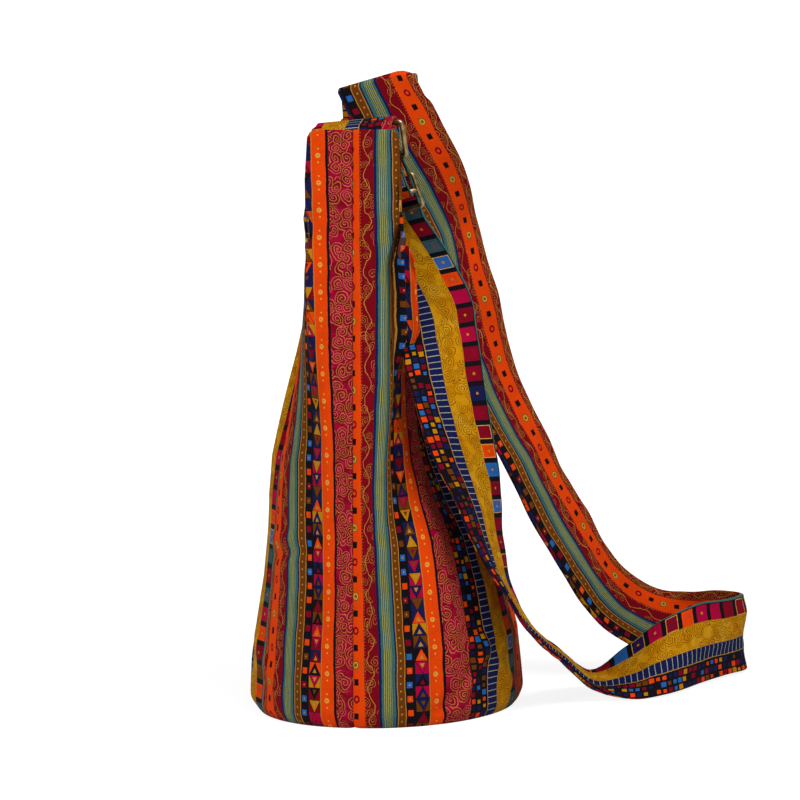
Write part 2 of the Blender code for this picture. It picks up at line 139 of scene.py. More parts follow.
# The strap below the adjuster: middle in millimetres, direction across, share of the width
STRAP_ROUTE = (
    ((11.5, 28, 300), (-20, 96, 20)),
    ((17, 44, 272), (-42, 89, 16)),
    ((26, 51, 248), (-56, 82, 8)),
    ((34, 57, 223), (-64, 77, 0)),
    ((38, 63, 198), (-69, 72, -5)),
    ((40, 70, 172), (-82, 57, -8)),
    ((37, 77, 145), (-93, 35, -13)),
    ((34, 82, 116), (-99, 12, -11)),
    ((33, 92, 86), (-97, -18, -14)),
    ((18, 105, 55), (-96, -25, -9)),
    ((-16, 117, 31), (-96, -27, -7)),
    ((-37, 133, 11), (-95, -28, 2)),
    ((-43, 157, 15), (-84, -26, 47)),
    ((-52, 178, 23), (-58, -20, 79)),
    ((-77, 197, 28.5), (-12, -3, 99)),
    ((-98, 210, 28.8), (12, 4, 99)),
    ((-119, 220, 28.8), (15, 5, 99)),
    ((-128, 215, 28.8), (8, 3, 99)),
    ((-129, 199, 28.5), (-10, -2, 99)),
    ((-130, 179, 27.5), (-42, -6, 90)),
    ((-121, 150, 38), (-78, 10, 60)),
    ((-105, 126, 62), (-80, 16, 57)),
    ((-89, 102.5, 111), (-86, 25, 43)),
    ((-80, 86, 149), (-92, 30, 24)),
    ((-71, 60, 209), (-87, 40, 30)),
    ((-62, 46, 270), (-80, 55, 18)),
    ((-57, 40, 310), (-88, 42, 20)),
    ((-39, 32, 345), (-50, 82, 28), 0.95),
    ((-31, 16, 379), (-20, 93, 32)),
)

# The print, in centimetres: where the repeat is cut at each seam, and how far the cut
# runs across the stripes from the bottom to the top of a panel.
REPEAT = 14.77
FRONT_CUT = 5.62
FRONT_SLANT = 0.6
BACK_CUT = 12.96
BACK_SLANT = 0.4
STRAP_FACE_CUT = 6.52
STRAP_BACK_CUT = 2.68
TAB_CUT = 11.25
STRAP_CUT_WIDTH = 5.4
STRAP_CUTS = ((STRAP_FACE_CUT, STRAP_CUT_WIDTH), (STRAP_BACK_CUT, -STRAP_CUT_WIDTH))
TAB_CUTS = ((TAB_CUT, -STRAP_CUT_WIDTH),) * 2
BACK_SHIFT = 7.3

# Where along the print each piece of the strap is cut
LOWER_CUT_START = 7.1
TAB_CUT_START = 3.0
END_CUT_START = 11.0

# The mouth's edge on the back panel beside the near ear: distance from the seam, height.
# The cloth there is turned out, from one place to another, in front of the strap.
BACK_RIM = ((0.0335, 0.336), (0.045, 0.322), (0.056, 0.297), (0.06, 0.262), (0.064, 0.246))
FLAP_SPAN = (0.0305, 0.06)
FLAP_START = Vector((0.052, 0.031, 0))
FLAP_TIP = Vector((0.035, 0.0405, 0))
FLAP_PLEAT = 0.0022
FLAP_PLEATS = 3
FLAP_OUT = Vector((0.49, 0.87, 0))
FLAP_RISE = 0.2
FLAP_RETURN = 0.5
FLAP_FROM = 0.225
FLAP_BLEND = 0.035
EAR_ROUND = 0.007
EAR_DROP = EAR_ROUND * 0.7

# Unevenness of the cloth: waves across and along, a shift per side, height
SOFT_FOLDS = (26, 11, 5.0, 0.0024)
FINE_FOLDS = (75, 22, 9.0, 0.0006)
PLEATS = (150, 8, 3.0, 0.0022)
PLEATS_FROM = 0.13
PLEATS_RUN = 0.12
TAUT_FROM = 0.335
TAUT_RUN = 0.02
TAUT_SHARE = 0.45
SEAM_CALM = 0.006
FLOOR_CALM = (0.003, 0.008)
SEAM_DENT = 0.0007
SEAM_DENT_WIDTH = 0.0022
CREASE_PAST = 0.4
CREASE_FADE = 0.5

# The same for the strap: waves across and along, a layer, height
BROAD_WAVE = (2.2, 0.16, 4.0, 0.003)
FINE_WAVE = (6.0, 0.45, 8.0, 0.0011)
PUFF_WAVE = (3, 0.3, 1.0, 1.0)
PUFF = 0.35
PUFF_VARIES = 0.5

# Creases in millimetres: side, start and end from the near seam and the floor, width, rise
CREASES = (
    (1, (68, 6), (95, 46), 4.5, 3.4),
    (1, (56, 6), (80, 30), 4.5, -3),
    (1, (90, 50), (125, 20), 6, 2.6),
    (1, (46, 12), (50, 60), 5, 2),
    (-1, (45, 114), (80, 108), 4, -1.6),
    (-1, (50, 122), (85, 118), 5, 1.4),
    (-1, (60, 20), (100, 45), 7, 1.6),
    (-1, (110, 10), (150, 60), 8, 2),
    (1, (26, 330), (50, 300), 4, -2.2),
    (1, (22, 345), (34, 352), 3.5, -1.8),
    (-1, (20, 200), (14, 300), 6, 2),
    (1, (12, 230), (20, 330), 5, -2.2),
    (1, (20, 90), (30, 210), 7, 2),
    (1, (44, 60), (40, 190), 8, -2.6),
    (-1, (34, 70), (40, 190), 8, -2.2),
    (1, (72, 30), (66, 140), 8, 2.8),
    (-1, (26, 330), (48, 305), 4.5, -1.8),
)


def lerp(a, b, t):
    return a + (b - a) * t


def smooth(t):
    t = min(1.0, max(0.0, t))
    return t * t * (3 - 2 * t)


def half_turn(steps):
    return [math.pi * step / steps for step in range(steps + 1)]


def section_at(z):
    """Half depths to the front and back, and the closing, at a height."""
    for low, high in zip(SECTIONS, SECTIONS[1:]):
        if z <= high[0]:
            t = (z - low[0]) / (high[0] - low[0])
            return tuple(lerp(a, b, t) for a, b in zip(low[1:], high[1:]))
    return SECTIONS[-1][1:]


def seam_x(z):
    return lerp(BASE_RADIUS, EAR_HALF_SPAN, z / EAR_TOP)


GIRTH = math.pi * BASE_RADIUS / 2


def rim_height(u, side):
    """The mouth's height at a distance u from the near seam, along the cloth."""
    own = min(u, 2 * GIRTH - u)
    past = own - EAR_HALF_WIDTH
    if past <= 0:
        turn = max(0.0, 1 + past / EAR_ROUND)
        return EAR_TOP - EAR_DROP * (1 - math.sqrt(1 - turn * turn))
    if side > 0 and u < BACK_RIM[-1][0] and past >= RIM_STEP:
        for low, high in zip(BACK_RIM, BACK_RIM[1:]):
            if u <= high[0]:
                return lerp(low[1], high[1], (u - low[0]) / (high[0] - low[0]))
    if past < RIM_STEP:
        return lerp(EAR_TOP - EAR_DROP, RIM_AT_EAR[side], past / RIM_STEP)
    down = smooth((past - RIM_STEP) / RIM_RUN[side]) ** RIM_POWER
    return lerp(RIM_AT_EAR[side], RIM_LOW[side], down)


def gathered(along):
    """How much of the gathers shows at a share of the way from the seam."""
    return smooth((along - GATHER_START) / GATHER_FADE)


def panel_point(u, z, side):
    """A point of a panel's outer face, as in the part: u from the near seam, side -1 front."""
    mirror = -1 if u > GIRTH else 1
    nearest = min(u, 2 * GIRTH - u)
    flat = min(nearest, SEAM_FLAT)
    own = (nearest - flat) / (GIRTH - SEAM_FLAT) * GIRTH
    angle = own / GIRTH * math.pi / 2
    front, back, closed = section_at(z)
    depth = front if side < 0 else back
    seam = seam_x(z)
    tuck = TUCK * (1 - min(1.0, z / TUCK_HEIGHT)) ** 2
    round_x = (seam - tuck) * math.cos(angle)
    round_y = (depth - tuck) * math.sin(angle)
    ear = smooth((z - EAR_FROM[side]) / EAR_BLEND[side])
    nose = lerp(NOSE_DEPTH, EAR_NOSE_DEPTH, ear)
    along = own / GIRTH
    half = lerp(NOSE_HALF_WIDTH, EAR_HALF_WIDTH, ear)
    if own < half:
        flat_x = seam - nose * own * own / half / 2
        flat_y = own
    else:
        corner_x = seam - nose * half / 2
        past = (own - half) / (GIRTH - half)
        flat_y = lerp(half, depth, 1 - (1 - past) ** WALL_POWER)
        flat_x = corner_x * (1 - past) ** WALL_TURN
    flat_y = min(flat_y, max(depth, half))
    phase = (along - GATHER_MIDDLE) / (1 - GATHER_MIDDLE) * 2 - 0.5
    wave = math.sin(phase * math.pi * GATHERS) * GATHER_DEPTH
    flat_y -= (wave + GATHER_DEPTH) * 0.5 * gathered(along)
    x = lerp(round_x, flat_x, closed)
    y = lerp(round_y, flat_y, closed)
    place = Vector((mirror * x, side * (y + flat + GAP / 2), z))
    return turned_out(place, u, z) if side > 0 else place


def turned_out(place, u, z):
    """The place once the cloth beside the near ear is turned out."""
    low, high = FLAP_SPAN
    t = (u - low) / (high - low)
    if not 0 < t < 1 + FLAP_RETURN:
        return place
    goal = FLAP_START.lerp(FLAP_TIP, min(t, 1.0))
    across = FLAP_OUT * FLAP_PLEAT * math.sin(t * math.pi * FLAP_PLEATS)
    goal = Vector((goal.x, goal.y, z)) + across
    goal = goal.lerp(place, smooth((t - 1) / FLAP_RETURN))
    return place.lerp(goal, smooth((z - FLAP_FROM) / FLAP_BLEND) * smooth(t / FLAP_RISE))


def ridge(u, z, start, end, width, height):
    """The height of one crease, which fades out at its ends, at a place on the cloth."""
    a, b, p = Vector(start), Vector(end), Vector((u, z)) * 1000
    along = (p - a).dot(b - a) / (b - a).length_squared
    if not -CREASE_PAST < along < 1 + CREASE_PAST:
        return 0.0
    away = (p - a.lerp(b, along)).length
    fade = smooth((along + CREASE_PAST) / CREASE_FADE)
    fade *= smooth((1 + CREASE_PAST - along) / CREASE_FADE)
    return height / 1000 * math.exp(-((away / width) ** 2)) * fade


def uneven(x, y, layer, across, along, shift, height):
    """One layer of unevenness at a place on the cloth."""
    return noise.noise(Vector((x * across, y * along, layer * shift))) * height


def wrinkle(u, z, side):
    """How far the cloth stands out of, or sinks into, the part's plain face."""
    own = min(u, 2 * GIRTH - u)
    top = smooth((z - PLEATS_FROM) / PLEATS_RUN)
    out = uneven(u, z, side, *SOFT_FOLDS) + uneven(u, z, side, *FINE_FOLDS)
    out += uneven(u, z, side, *PLEATS) * top * gathered(own / GIRTH)
    for crease in CREASES:
        if crease[0] == side:
            out += ridge(u, z, *crease[1:])
    ear = smooth((z - TAUT_FROM) / TAUT_RUN)
    low, run = FLOOR_CALM
    out *= lerp(1.0, TAUT_SHARE, ear) * smooth(own / SEAM_CALM) * smooth((z - low) / run)
    return out - SEAM_DENT * math.exp(-((own / SEAM_DENT_WIDTH) ** 2))


def new_object(name, mesh):
    made = bpy.data.objects.new(name, mesh)
    bpy.context.scene.collection.objects.link(made)
    return made


def mesh_object(name, work):
    """An object from a bmesh, which it frees."""
    mesh = bpy.data.meshes.new(name)
    work.to_mesh(mesh)
    work.free()
    return new_object(name, mesh)


def grid_object(name, points, uvs, flip=False):
    """A surface through rows of points, with its print coordinates."""
    work = bmesh.new()
    layer = work.loops.layers.uv.new("print")
    rows = [[work.verts.new(p) for p in row] for row in points]
    for i in range(len(rows) - 1):
        for j in range(len(rows[0]) - 1):
            ring = [(i, j), (i + 1, j), (i + 1, j + 1), (i, j + 1)]
            if flip:
                ring.reverse()
            face = work.faces.new([rows[a][b] for a, b in ring])
            face.smooth = True
            for loop, (a, b) in zip(face.loops, ring):
                loop[layer].uv = uvs[a][b]
    return mesh_object(name, work)


# Shader expressions


class Term:
    """A socket of a shader tree that plain arithmetic works on."""

    def __init__(self, tree, socket):
        self.tree = tree
        self.socket = socket

    def op(self, kind, *others, clamp=False):
        node = self.tree.nodes.new("ShaderNodeMath")
        node.operation = kind
        node.use_clamp = clamp
        for place, value in zip(node.inputs, (self, *others)):
            if isinstance(value, Term):
                self.tree.links.new(value.socket, place)
            else:
                place.default_value = value
        return Term(self.tree, node.outputs[0])

    def __add__(self, other):
        return self.op("ADD", other)

    def __sub__(self, other):
        return self.op("SUBTRACT", other)

    def __rsub__(self, other):
        return (self * -1.0).op("ADD", other)

    def __mul__(self, other):
        return self.op("MULTIPLY", other)

    def __truediv__(self, other):
        return self.op("DIVIDE", other)

    def above(self, limit):
        return self.op("GREATER_THAN", limit)

    def below(self, limit):
        return self.op("LESS_THAN", limit)

    def within(self, low, high):
        return self.above(low) * self.below(high)

    def near(self, middle, half):
        """1 where the value is no further than half from middle."""
        return (self - middle).op("ABSOLUTE").below(half)

    def wrap(self, size):
        return self.op("FLOORED_MODULO", size)

    def centred(self, size):
        """The distance from the middle of each stretch of a size."""
        return self.wrap(size) - size / 2

    def cell(self, size):
        return (self / size).op("FLOOR")

    def sine(self, length):
        return (self * (2 * math.pi / length)).op("SINE")

    def either(self, other):
        return self.op("MAXIMUM", other)

    def clipped(self):
        """The value kept from 0 to 1."""
        return self.op("ADD", 0.0, clamp=True)


def srgb(red, green, blue):
    """A colour as it looks on a screen, 0 to 255, for a shader."""
    made = []
    for value in (red, green, blue):
        value /= 255
        made.append(value / 12.92 if value <= 0.04045 else ((value + 0.055) / 1.055) ** 2.4)
    return (*made, 1.0)


ORANGE = srgb(238, 76, 28)
DARK_RED = srgb(126, 12, 26)
MAGENTA = srgb(176, 18, 62)
CRIMSON = srgb(132, 10, 34)
GOLD = srgb(190, 138, 68)
PALE_GOLD = srgb(222, 170, 84)
TEAL = srgb(62, 106, 104)
DARK_TEAL = srgb(44, 78, 84)
YELLOW = srgb(190, 172, 62)
NAVY = srgb(26, 30, 76)
BROWN = srgb(112, 62, 26)
BLACK = srgb(15, 12, 19)
OCHRE = srgb(198, 134, 42)
CURL = srgb(112, 60, 18)
BAR = srgb(168, 176, 152)
BLUE = srgb(58, 108, 178)
SLATE = srgb(52, 84, 92)
LIGHT_OCHRE = srgb(224, 170, 66)
DEEP_OCHRE = srgb(150, 90, 26)
RING_GOLD = srgb(120, 92, 36)
BARE_THREAD = srgb(226, 196, 160)
THREAD_SHADE = srgb(12, 4, 8)
CLOTH_SHADE = srgb(30, 14, 20)
REVERSE = srgb(140, 100, 84)

# One turn of a scroll, how far its line runs on, and how unevenly the scrolls lie
SCROLL_PITCH = 0.215
SCROLL_REACH = 1.25
SCROLL_SPREAD = 0.75

# How long each ornament's repeat is along the stripe, in centimetres
LINE_PITCH = 0.125
BROWN_DOT_PITCH = 0.5
SQUARE_PITCH = 0.92
TRIANGLE_PITCH = 0.82
GOLD_DOT_PITCH = 1.78
TILE_WIDTH = 0.48
TILE_PITCH = 0.46
LADDER_PITCH = 0.43
BLOCK_PITCH = 1.28
RING_PITCH = 2.24
VINE_DOT_PITCH = 0.21
THREAD = 0.052

# Where each stripe of the repeat starts, in centimetres
STRIPES = (
    (0.0, NAVY),
    (0.13, GOLD),
    (0.16, TEAL),
    (1.04, GOLD),
    (1.07, NAVY),
    (1.2, GOLD),
    (1.23, BROWN),
    (1.72, GOLD),
    (1.75, BLACK),
    (2.43, GOLD),
    (2.48, CRIMSON),
    (3.38, GOLD),
    (3.43, ORANGE),
    (4.34, BLACK),
    (4.52, GOLD),
    (4.55, CRIMSON),
    (6.5, BLACK),
    (8.0, GOLD),
    (8.03, NAVY),
    (9.0, GOLD),
    (9.04, OCHRE),
    (10.62, BLACK),
    (11.82, TEAL),
    (11.99, GOLD),
    (12.02, DARK_RED),
    (12.67, ORANGE),
    (13.77, DARK_RED),
    (14.74, GOLD),
)


def fill(node, values):
    """Sets plain values at a node's inputs."""
    for name, value in values.items():
        node.inputs[name].default_value = value


def blended(tree, factor, low, high):
    """A colour between two, each a plain colour or a socket."""
    node = tree.nodes.new("ShaderNodeMix")
    node.data_type = "RGBA"
    if isinstance(factor, Term):
        tree.links.new(factor.socket, node.inputs["Factor"])
    else:
        node.inputs["Factor"].default_value = factor
    for place, colour in (("A", low), ("B", high)):
        if isinstance(colour, tuple):
            node.inputs[place].default_value = colour
        else:
            tree.links.new(colour, node.inputs[place])
    return node.outputs["Result"]


class Print:
    """Builds the printed colour, one ornament over another."""

    def __init__(self, tree, across, along):
        self.tree = tree
        self.s = across
        self.t = along
        self.colour = None

    def ramp(self, value, stops):
        """A colour for each stretch of a value from 0 to 1."""
        node = self.tree.nodes.new("ShaderNodeValToRGB")
        node.color_ramp.interpolation = "CONSTANT"
        marks = node.color_ramp.elements
        marks.remove(marks[1])
        marks[0].color = stops[0][1]
        for place, colour in stops[1:]:
            marks.new(place).color = colour
        self.tree.links.new(value.socket, node.inputs["Fac"])
        return node.outputs["Color"]

    def join(self, *values):
        """A vector of up to three values."""
        node = self.tree.nodes.new("ShaderNodeCombineXYZ")
        for place, value in zip(node.inputs, values):
            if isinstance(value, Term):
                self.tree.links.new(value.socket, place)
            else:
                place.default_value = value
        return node.outputs[0]

    def texture(self, kind, place, values):
        """A texture at a place, with plain values at its other inputs."""
        node = self.tree.nodes.new(kind)
        fill(node, values)
        self.tree.links.new(self.join(*place), node.inputs["Vector"])
        return node

    def random(self, *cells):
        """A value from 0 to 1 for each cell."""
        node = self.texture("ShaderNodeTexWhiteNoise", cells, {})
        return Term(self.tree, node.outputs["Value"])

    def cloud(self, scale, seed, detail=2.0):
        """Soft variation over the flat cloth."""
        place, values = (self.s, self.t, seed), {"Scale": scale, "Detail": detail}
        node = self.texture("ShaderNodeTexNoise", place, values)
        return Term(self.tree, node.outputs["Fac"])

    def lay(self, colour, mask):
        """Prints a colour where the mask is 1."""
        self.colour = blended(self.tree, mask, self.colour, colour)

    def strew(self, mask, cells, *colours):
        """Prints one of several colours, each as likely, in each cell."""
        stops = [(i / len(colours), c) for i, c in enumerate(colours)]
        self.lay(self.ramp(self.random(*cells), stops), mask)

    def dot(self, x, y, radius):
        return (x * x + y * y).below(radius * radius)

    def scrolls(self, x, y, size, reach, share, width=0.19):
        """Scrolls strewn over a field, a size apart; share of them are drawn."""
        x, y = x / size, y / size
        values = {"Scale": 1.0, "Randomness": SCROLL_SPREAD}
        cells = self.texture("ShaderNodeTexVoronoi", (x, y), values)
        cells.voronoi_dimensions = "2D"
        middle = self.tree.nodes.new("ShaderNodeSeparateXYZ")
        self.tree.links.new(cells.outputs["Position"], middle.inputs[0])
        kind = self.tree.nodes.new("ShaderNodeSeparateColor")
        self.tree.links.new(cells.outputs["Color"], kind.inputs[0])
        x, y = x - Term(self.tree, middle.outputs[0]), y - Term(self.tree, middle.outputs[1])
        way = Term(self.tree, kind.outputs[0]).above(0.5) * 2.0 - 1.0
        away = (x * x + y * y).op("SQRT")
        angle = y.op("ARCTAN2", x) * way * (0.5 / math.pi)
        line = (away / SCROLL_PITCH - angle).wrap(1.0).below(width)
        drawn = Term(self.tree, kind.outputs[1]).below(share)
        return line * away.below(reach / size * SCROLL_REACH) * drawn


def lay_print(make):
    """Every stripe's ornament. Distances are in centimetres."""
    s, t = make.s, make.t
    make.colour = make.ramp(s / REPEAT, [(place / REPEAT, c) for place, c in STRIPES])
    shade = make.cloud(0.9, 3.0)
    blotch = make.cloud(1.7, 13.0)
    # The drawn lines wander
    sd = s + (make.cloud(1.1, 21.0) - 0.5) * 0.42
    td = t + (make.cloud(1.1, 27.0) - 0.5) * 0.7
    # Fine lines in the teal stripe
    x = s - 0.6
    make.lay(YELLOW, x.wrap(LINE_PITCH).below(0.04) * x.near(0, 0.27))
    make.lay(DARK_TEAL, x.wrap(LINE_PITCH).within(0.075, 0.1) * x.near(0, 0.4))
    # Dots on brown
    make.lay(GOLD, make.dot(s - 1.475, t.centred(BROWN_DOT_PITCH), 0.062))
    # Small squares on black
    step = t.cell(SQUARE_PITCH)
    x, y = s - 2.09, t.centred(SQUARE_PITCH)
    square = x.near(0, 0.19) * y.near(0, 0.2)
    make.strew(square, (step, 1.0), CRIMSON, ORANGE, BLUE, BROWN)
    make.lay(GOLD, make.dot(x, y, 0.06) * make.random(step, 2.0).above(0.4))
    # Triangles
    inside = s.within(2.48, 3.38)
    step = t.cell(TRIANGLE_PITCH)
    x, y = (s - 2.93).op("ABSOLUTE"), t.wrap(TRIANGLE_PITCH)
    over = make.random(step, 6.0).above(0.5)
    y = y + over * (TRIANGLE_PITCH - y * 2.0)
    slope = x / 0.45 + y / TRIANGLE_PITCH
    colours = (OCHRE, ORANGE, NAVY, MAGENTA, DARK_RED, CURL, BLACK, NAVY)
    make.strew(inside, (step, 3.0), *colours)
    make.strew(inside * slope.below(1.0), (step, 4.0, 7.0), *colours[::-1])
    make.lay(BLACK, inside * slope.near(1.0, 0.045).either(y.below(0.03)))
    small = (x / 0.16 + (y - 0.14) / 0.3).below(1.0) * y.above(0.14)
    make.strew(inside * small, (step, 5.0), GOLD, CRIMSON, BROWN)
    # Gold dots on orange
    x, y = s - 3.88, t.centred(GOLD_DOT_PITCH)
    small = make.dot(x - 0.02, t.centred(GOLD_DOT_PITCH / 2), 0.06)
    make.lay(PALE_GOLD, make.dot(x, y, 0.165).either(small))
    make.lay(ORANGE, make.dot(x + 0.02, y - 0.02, 0.05))
    # Scrolls on blotches of magenta
    inside = s.within(4.56, 6.5)
    make.lay(MAGENTA, inside * (blotch * 5.0 - 2.0).clipped() * 0.85)
    make.lay(GOLD, inside * make.scrolls(sd, td, 0.8, 0.4, 1.0))
    # Mosaic on black
    inside = s.within(6.52, 7.98)
    column = (s - 6.52).cell(TILE_WIDTH)
    lift = t + make.random(column, 11.0) * 0.45
    step = lift.cell(TILE_PITCH)
    x, y = (s - 6.52).centred(TILE_WIDTH), lift.centred(TILE_PITCH)
    size = make.random(column, step, 5.0) * 0.08 + 0.11
    tile = x.near(0, size) * y.near(0, size)
    colours = (CRIMSON, ORANGE, NAVY, BROWN, BLUE, OCHRE, BLACK, CRIMSON, ORANGE, NAVY)
    make.strew(inside * tile, (column, step, 9.0), *colours)
    # Ladder bars on navy
    make.lay(BAR, s.within(8.06, 8.98) * t.wrap(LADDER_PITCH).below(0.05))
    # Curls on ochre
    inside = s.within(9.04, 10.62)
    make.lay(LIGHT_OCHRE, inside * (shade * 3.0 - 1.1).clipped())
    make.lay(CURL, inside * make.scrolls(sd, td + 31.0, 0.74, 0.38, 0.9, 0.27))
    make.lay(DEEP_OCHRE, inside * (0.52 - blotch).op("MULTIPLY", 4.0, clamp=True) * 0.6)
    # Big squares on black, each with a drawn mark
    step = t.cell(BLOCK_PITCH)
    x, y = s - 11.22, t.centred(BLOCK_PITCH)
    colours = (CRIMSON, BLUE, BROWN, MAGENTA, SLATE, ORANGE, CRIMSON, NAVY)
    square = x.near(0, 0.54) * y.near(0, 0.47)
    make.strew(square, (step, 21.0), *colours)
    rim = square * (x.near(0, 0.49) * y.near(0, 0.42)).below(0.5)
    make.lay(PALE_GOLD, rim * make.random(step, 24.0).above(0.72))
    marks = make.scrolls(s * 1.6, t * 1.6, 0.62, 0.44, 0.8) * x.near(0, 0.34) * y.near(0, 0.3)
    make.strew(marks * 0.65, (step, 22.0), MAGENTA, NAVY, DARK_RED, BLACK)
    make.lay(OCHRE, make.dot(x, y, 0.09) * make.random(step, 23.0).above(0.55))
    # Narrow scroll
    x = sd - 12.34 - td.sine(1.7) * 0.15
    inside = s.within(12.04, 12.66)
    make.lay(GOLD, inside * x.near(0, 0.022))
    make.lay(GOLD, inside * make.scrolls(sd, td + 57.0, 0.62, 0.34, 0.9))
    # Squares and rings on orange
    x, y = s - 13.22, t.centred(RING_PITCH)
    make.lay(BLACK, x.near(0, 0.16) * y.near(0, 0.21))
    later = t + RING_PITCH / 2
    step, y = later.cell(RING_PITCH), later.centred(RING_PITCH)
    lately = step.wrap(2.0).above(0.5)
    away = (x * x + y * y * 0.6).op("SQRT")
    make.lay(CRIMSON, away.within(0.1, 0.21) * lately.below(0.5))
    make.lay(RING_GOLD, away.below(0.23) * lately)
    make.lay(PALE_GOLD, away.within(0.1, 0.17) * lately)
    # Vine on dark red
    x = sd - 14.27 - td.sine(2.1) * 0.22
    inside = s.above(13.78) * s.below(14.74)
    make.lay(GOLD, inside * x.near(0, 0.024))
    make.lay(GOLD, inside * make.scrolls(sd, td + 83.0, 0.66, 0.26, 0.7, 0.16))
    make.lay(GOLD, make.dot(s - 13.85, t.centred(VINE_DOT_PITCH), 0.026))
    # Worn ink and threads that show through
    fleck = make.cloud(15.0, 8.0, 3.0)
    make.lay(BARE_THREAD, (fleck * 2.4 - 1.44).clipped() * 0.1)
    make.lay(THREAD_SHADE, (1.0 - fleck * 2.1).clipped() * 0.8)
    make.lay(CLOTH_SHADE, (shade * 2.0 - 0.95).clipped() * 0.2)


def print_group():
    """The print as a node group: the colour, and the weave's height."""
    group = bpy.data.node_groups.new("stripe_print", "ShaderNodeTree")
    group.interface.new_socket("Colour", in_out="OUTPUT", socket_type="NodeSocketColor")
    group.interface.new_socket("Weave", in_out="OUTPUT", socket_type="NodeSocketFloat")
    uv = group.nodes.new("ShaderNodeUVMap")
    uv.uv_map = "print"
    split = group.nodes.new("ShaderNodeSeparateXYZ")
    group.links.new(uv.outputs[0], split.inputs[0])
    across, along = (Term(group, split.outputs[i]) for i in (0, 1))
    drawn = Print(group, across, along)
    wobble = (drawn.cloud(0.55, 0.0) - 0.5) * 0.16
    bleed = (drawn.cloud(7.0, 2.0, 3.0) - 0.5) * 0.05
    make = Print(group, (across + wobble + bleed).wrap(REPEAT), along + bleed + 40.0)
    lay_print(make)
    threads = across.sine(THREAD) * along.sine(THREAD)
    uneven = drawn.cloud(9.0, 5.0, 3.0)
    weave = threads * 0.35 + uneven * 0.65
    out = group.nodes.new("NodeGroupOutput")
    group.links.new(make.colour, out.inputs["Colour"])
    group.links.new(weave.socket, out.inputs["Weave"])
    return group


def new_material(name):
    """A material with its shader tree and its surface shader."""
    made = bpy.data.materials.new(name)
    made.use_nodes = True
    return made, made.node_tree, made.node_tree.nodes["Principled BSDF"]


def add_bump(tree, shader, height, strength, distance):
    bump = tree.nodes.new("ShaderNodeBump")
    fill(bump, {"Strength": strength, "Distance": distance})
    tree.links.new(height.socket, bump.inputs["Height"])
    tree.links.new(bump.outputs[0], shader.inputs["Normal"])


def object_plane(tree):
    """The place in an object's own space, along x and along y."""
    place = tree.nodes.new("ShaderNodeTexCoord")
    split = tree.nodes.new("ShaderNodeSeparateXYZ")
    tree.links.new(place.outputs["Object"], split.inputs[0])
    return [Term(tree, split.outputs[i]) for i in (0, 1)]


def cloth_material(name, group, fade=0.0):
    """Printed cotton; fade is how pale the reverse of the cloth is."""
    made, tree, shader = new_material(name)
    source = tree.nodes.new("ShaderNodeGroup")
    source.node_tree = group
    deep = tree.nodes.new("ShaderNodeHueSaturation")
    fill(deep, {"Saturation": 1.06, "Value": 0.73})
    tree.links.new(source.outputs["Colour"], deep.inputs["Color"])
    colour = deep.outputs["Color"]
    if fade:
        colour = blended(tree, fade, colour, REVERSE)
    tree.links.new(colour, shader.inputs["Base Color"])
    weave = Term(tree, source.outputs["Weave"])
    rough = weave * 0.14 + 0.78
    tree.links.new(rough.socket, shader.inputs["Roughness"])
    fill(shader, {"Specular IOR Level": 0.06})
    add_bump(tree, shader, weave, 0.35, 0.0004)
    return made


def object_noise(tree, scale, detail=3.0):
    """Variation through the space of an object."""
    place = tree.nodes.new("ShaderNodeTexCoord")
    node = tree.nodes.new("ShaderNodeTexNoise")
    fill(node, {"Scale": scale, "Detail": detail})
    tree.links.new(place.outputs["Object"], node.inputs["Vector"])
    return Term(tree, node.outputs["Fac"])


def brass_material():
    """Antiqued metal, dark in places and rubbed bright in others."""
    made, tree, shader = new_material("antique_brass")
    fill(shader, {"Metallic": 1.0})
    wear = (object_noise(tree, 220.0) * 2.4 - 0.75).clipped()
    colour = blended(tree, wear, srgb(92, 76, 50), srgb(176, 152, 104))
    tree.links.new(colour, shader.inputs["Base Color"])
    rough = object_noise(tree, 500.0) * 0.22 + 0.24
    tree.links.new(rough.socket, shader.inputs["Roughness"])
    add_bump(tree, shader, object_noise(tree, 900.0), 0.15, 0.0002)
    return made


def base_material():
    """Dark brown-red canvas of the bottom."""
    made, tree, shader = new_material("base_canvas")
    x, y = object_plane(tree)
    threads = (x.sine(0.0011) * y.sine(0.0011)) * 0.5 + 0.5
    cloud = object_noise(tree, 60.0)
    colour = blended(tree, threads * 0.4 + cloud * 0.6, srgb(58, 24, 24), srgb(104, 46, 38))
    tree.links.new(colour, shader.inputs["Base Color"])
    fill(shader, {"Roughness": 0.9, "Sheen Weight": 0.15})
    add_bump(tree, shader, threads, 0.4, 0.0004)
    return made


# Body


EAR_COLUMNS = 15
WALL_COLUMNS = 60
PANEL_ROWS = 150
HEM_ROWS = (0.0, 0.004, 0.008, 0.013, 0.019, 0.026)
THIN_STEPS = (0.0008, 0.0016)


def panel_columns():
    """Distances from the near seam at which a panel has an edge."""
    half = [0.0, *THIN_STEPS, SEAM_FLAT]
    half += [lerp(SEAM_FLAT, EAR_HALF_WIDTH, (i + 1) / EAR_COLUMNS) for i in range(EAR_COLUMNS)]
    start = EAR_HALF_WIDTH + RIM_STEP
    half += [EAR_HALF_WIDTH + step for step in THIN_STEPS] + [start]
    half += [lerp(start, GIRTH, (i + 1) / WALL_COLUMNS) for i in range(WALL_COLUMNS)]
    return half + [2 * GIRTH - u for u in reversed(half[:-1])]


def panel_print(u, z, side):
    """Where a place on a panel lies on the flat print, in centimetres."""
    share = z / EAR_TOP
    if side < 0:
        return (FRONT_CUT + FRONT_SLANT * share - u * 100 + 10 * REPEAT, z * 100)
    return (BACK_CUT + BACK_SLANT * share + u * 100, z * 100 + BACK_SHIFT)


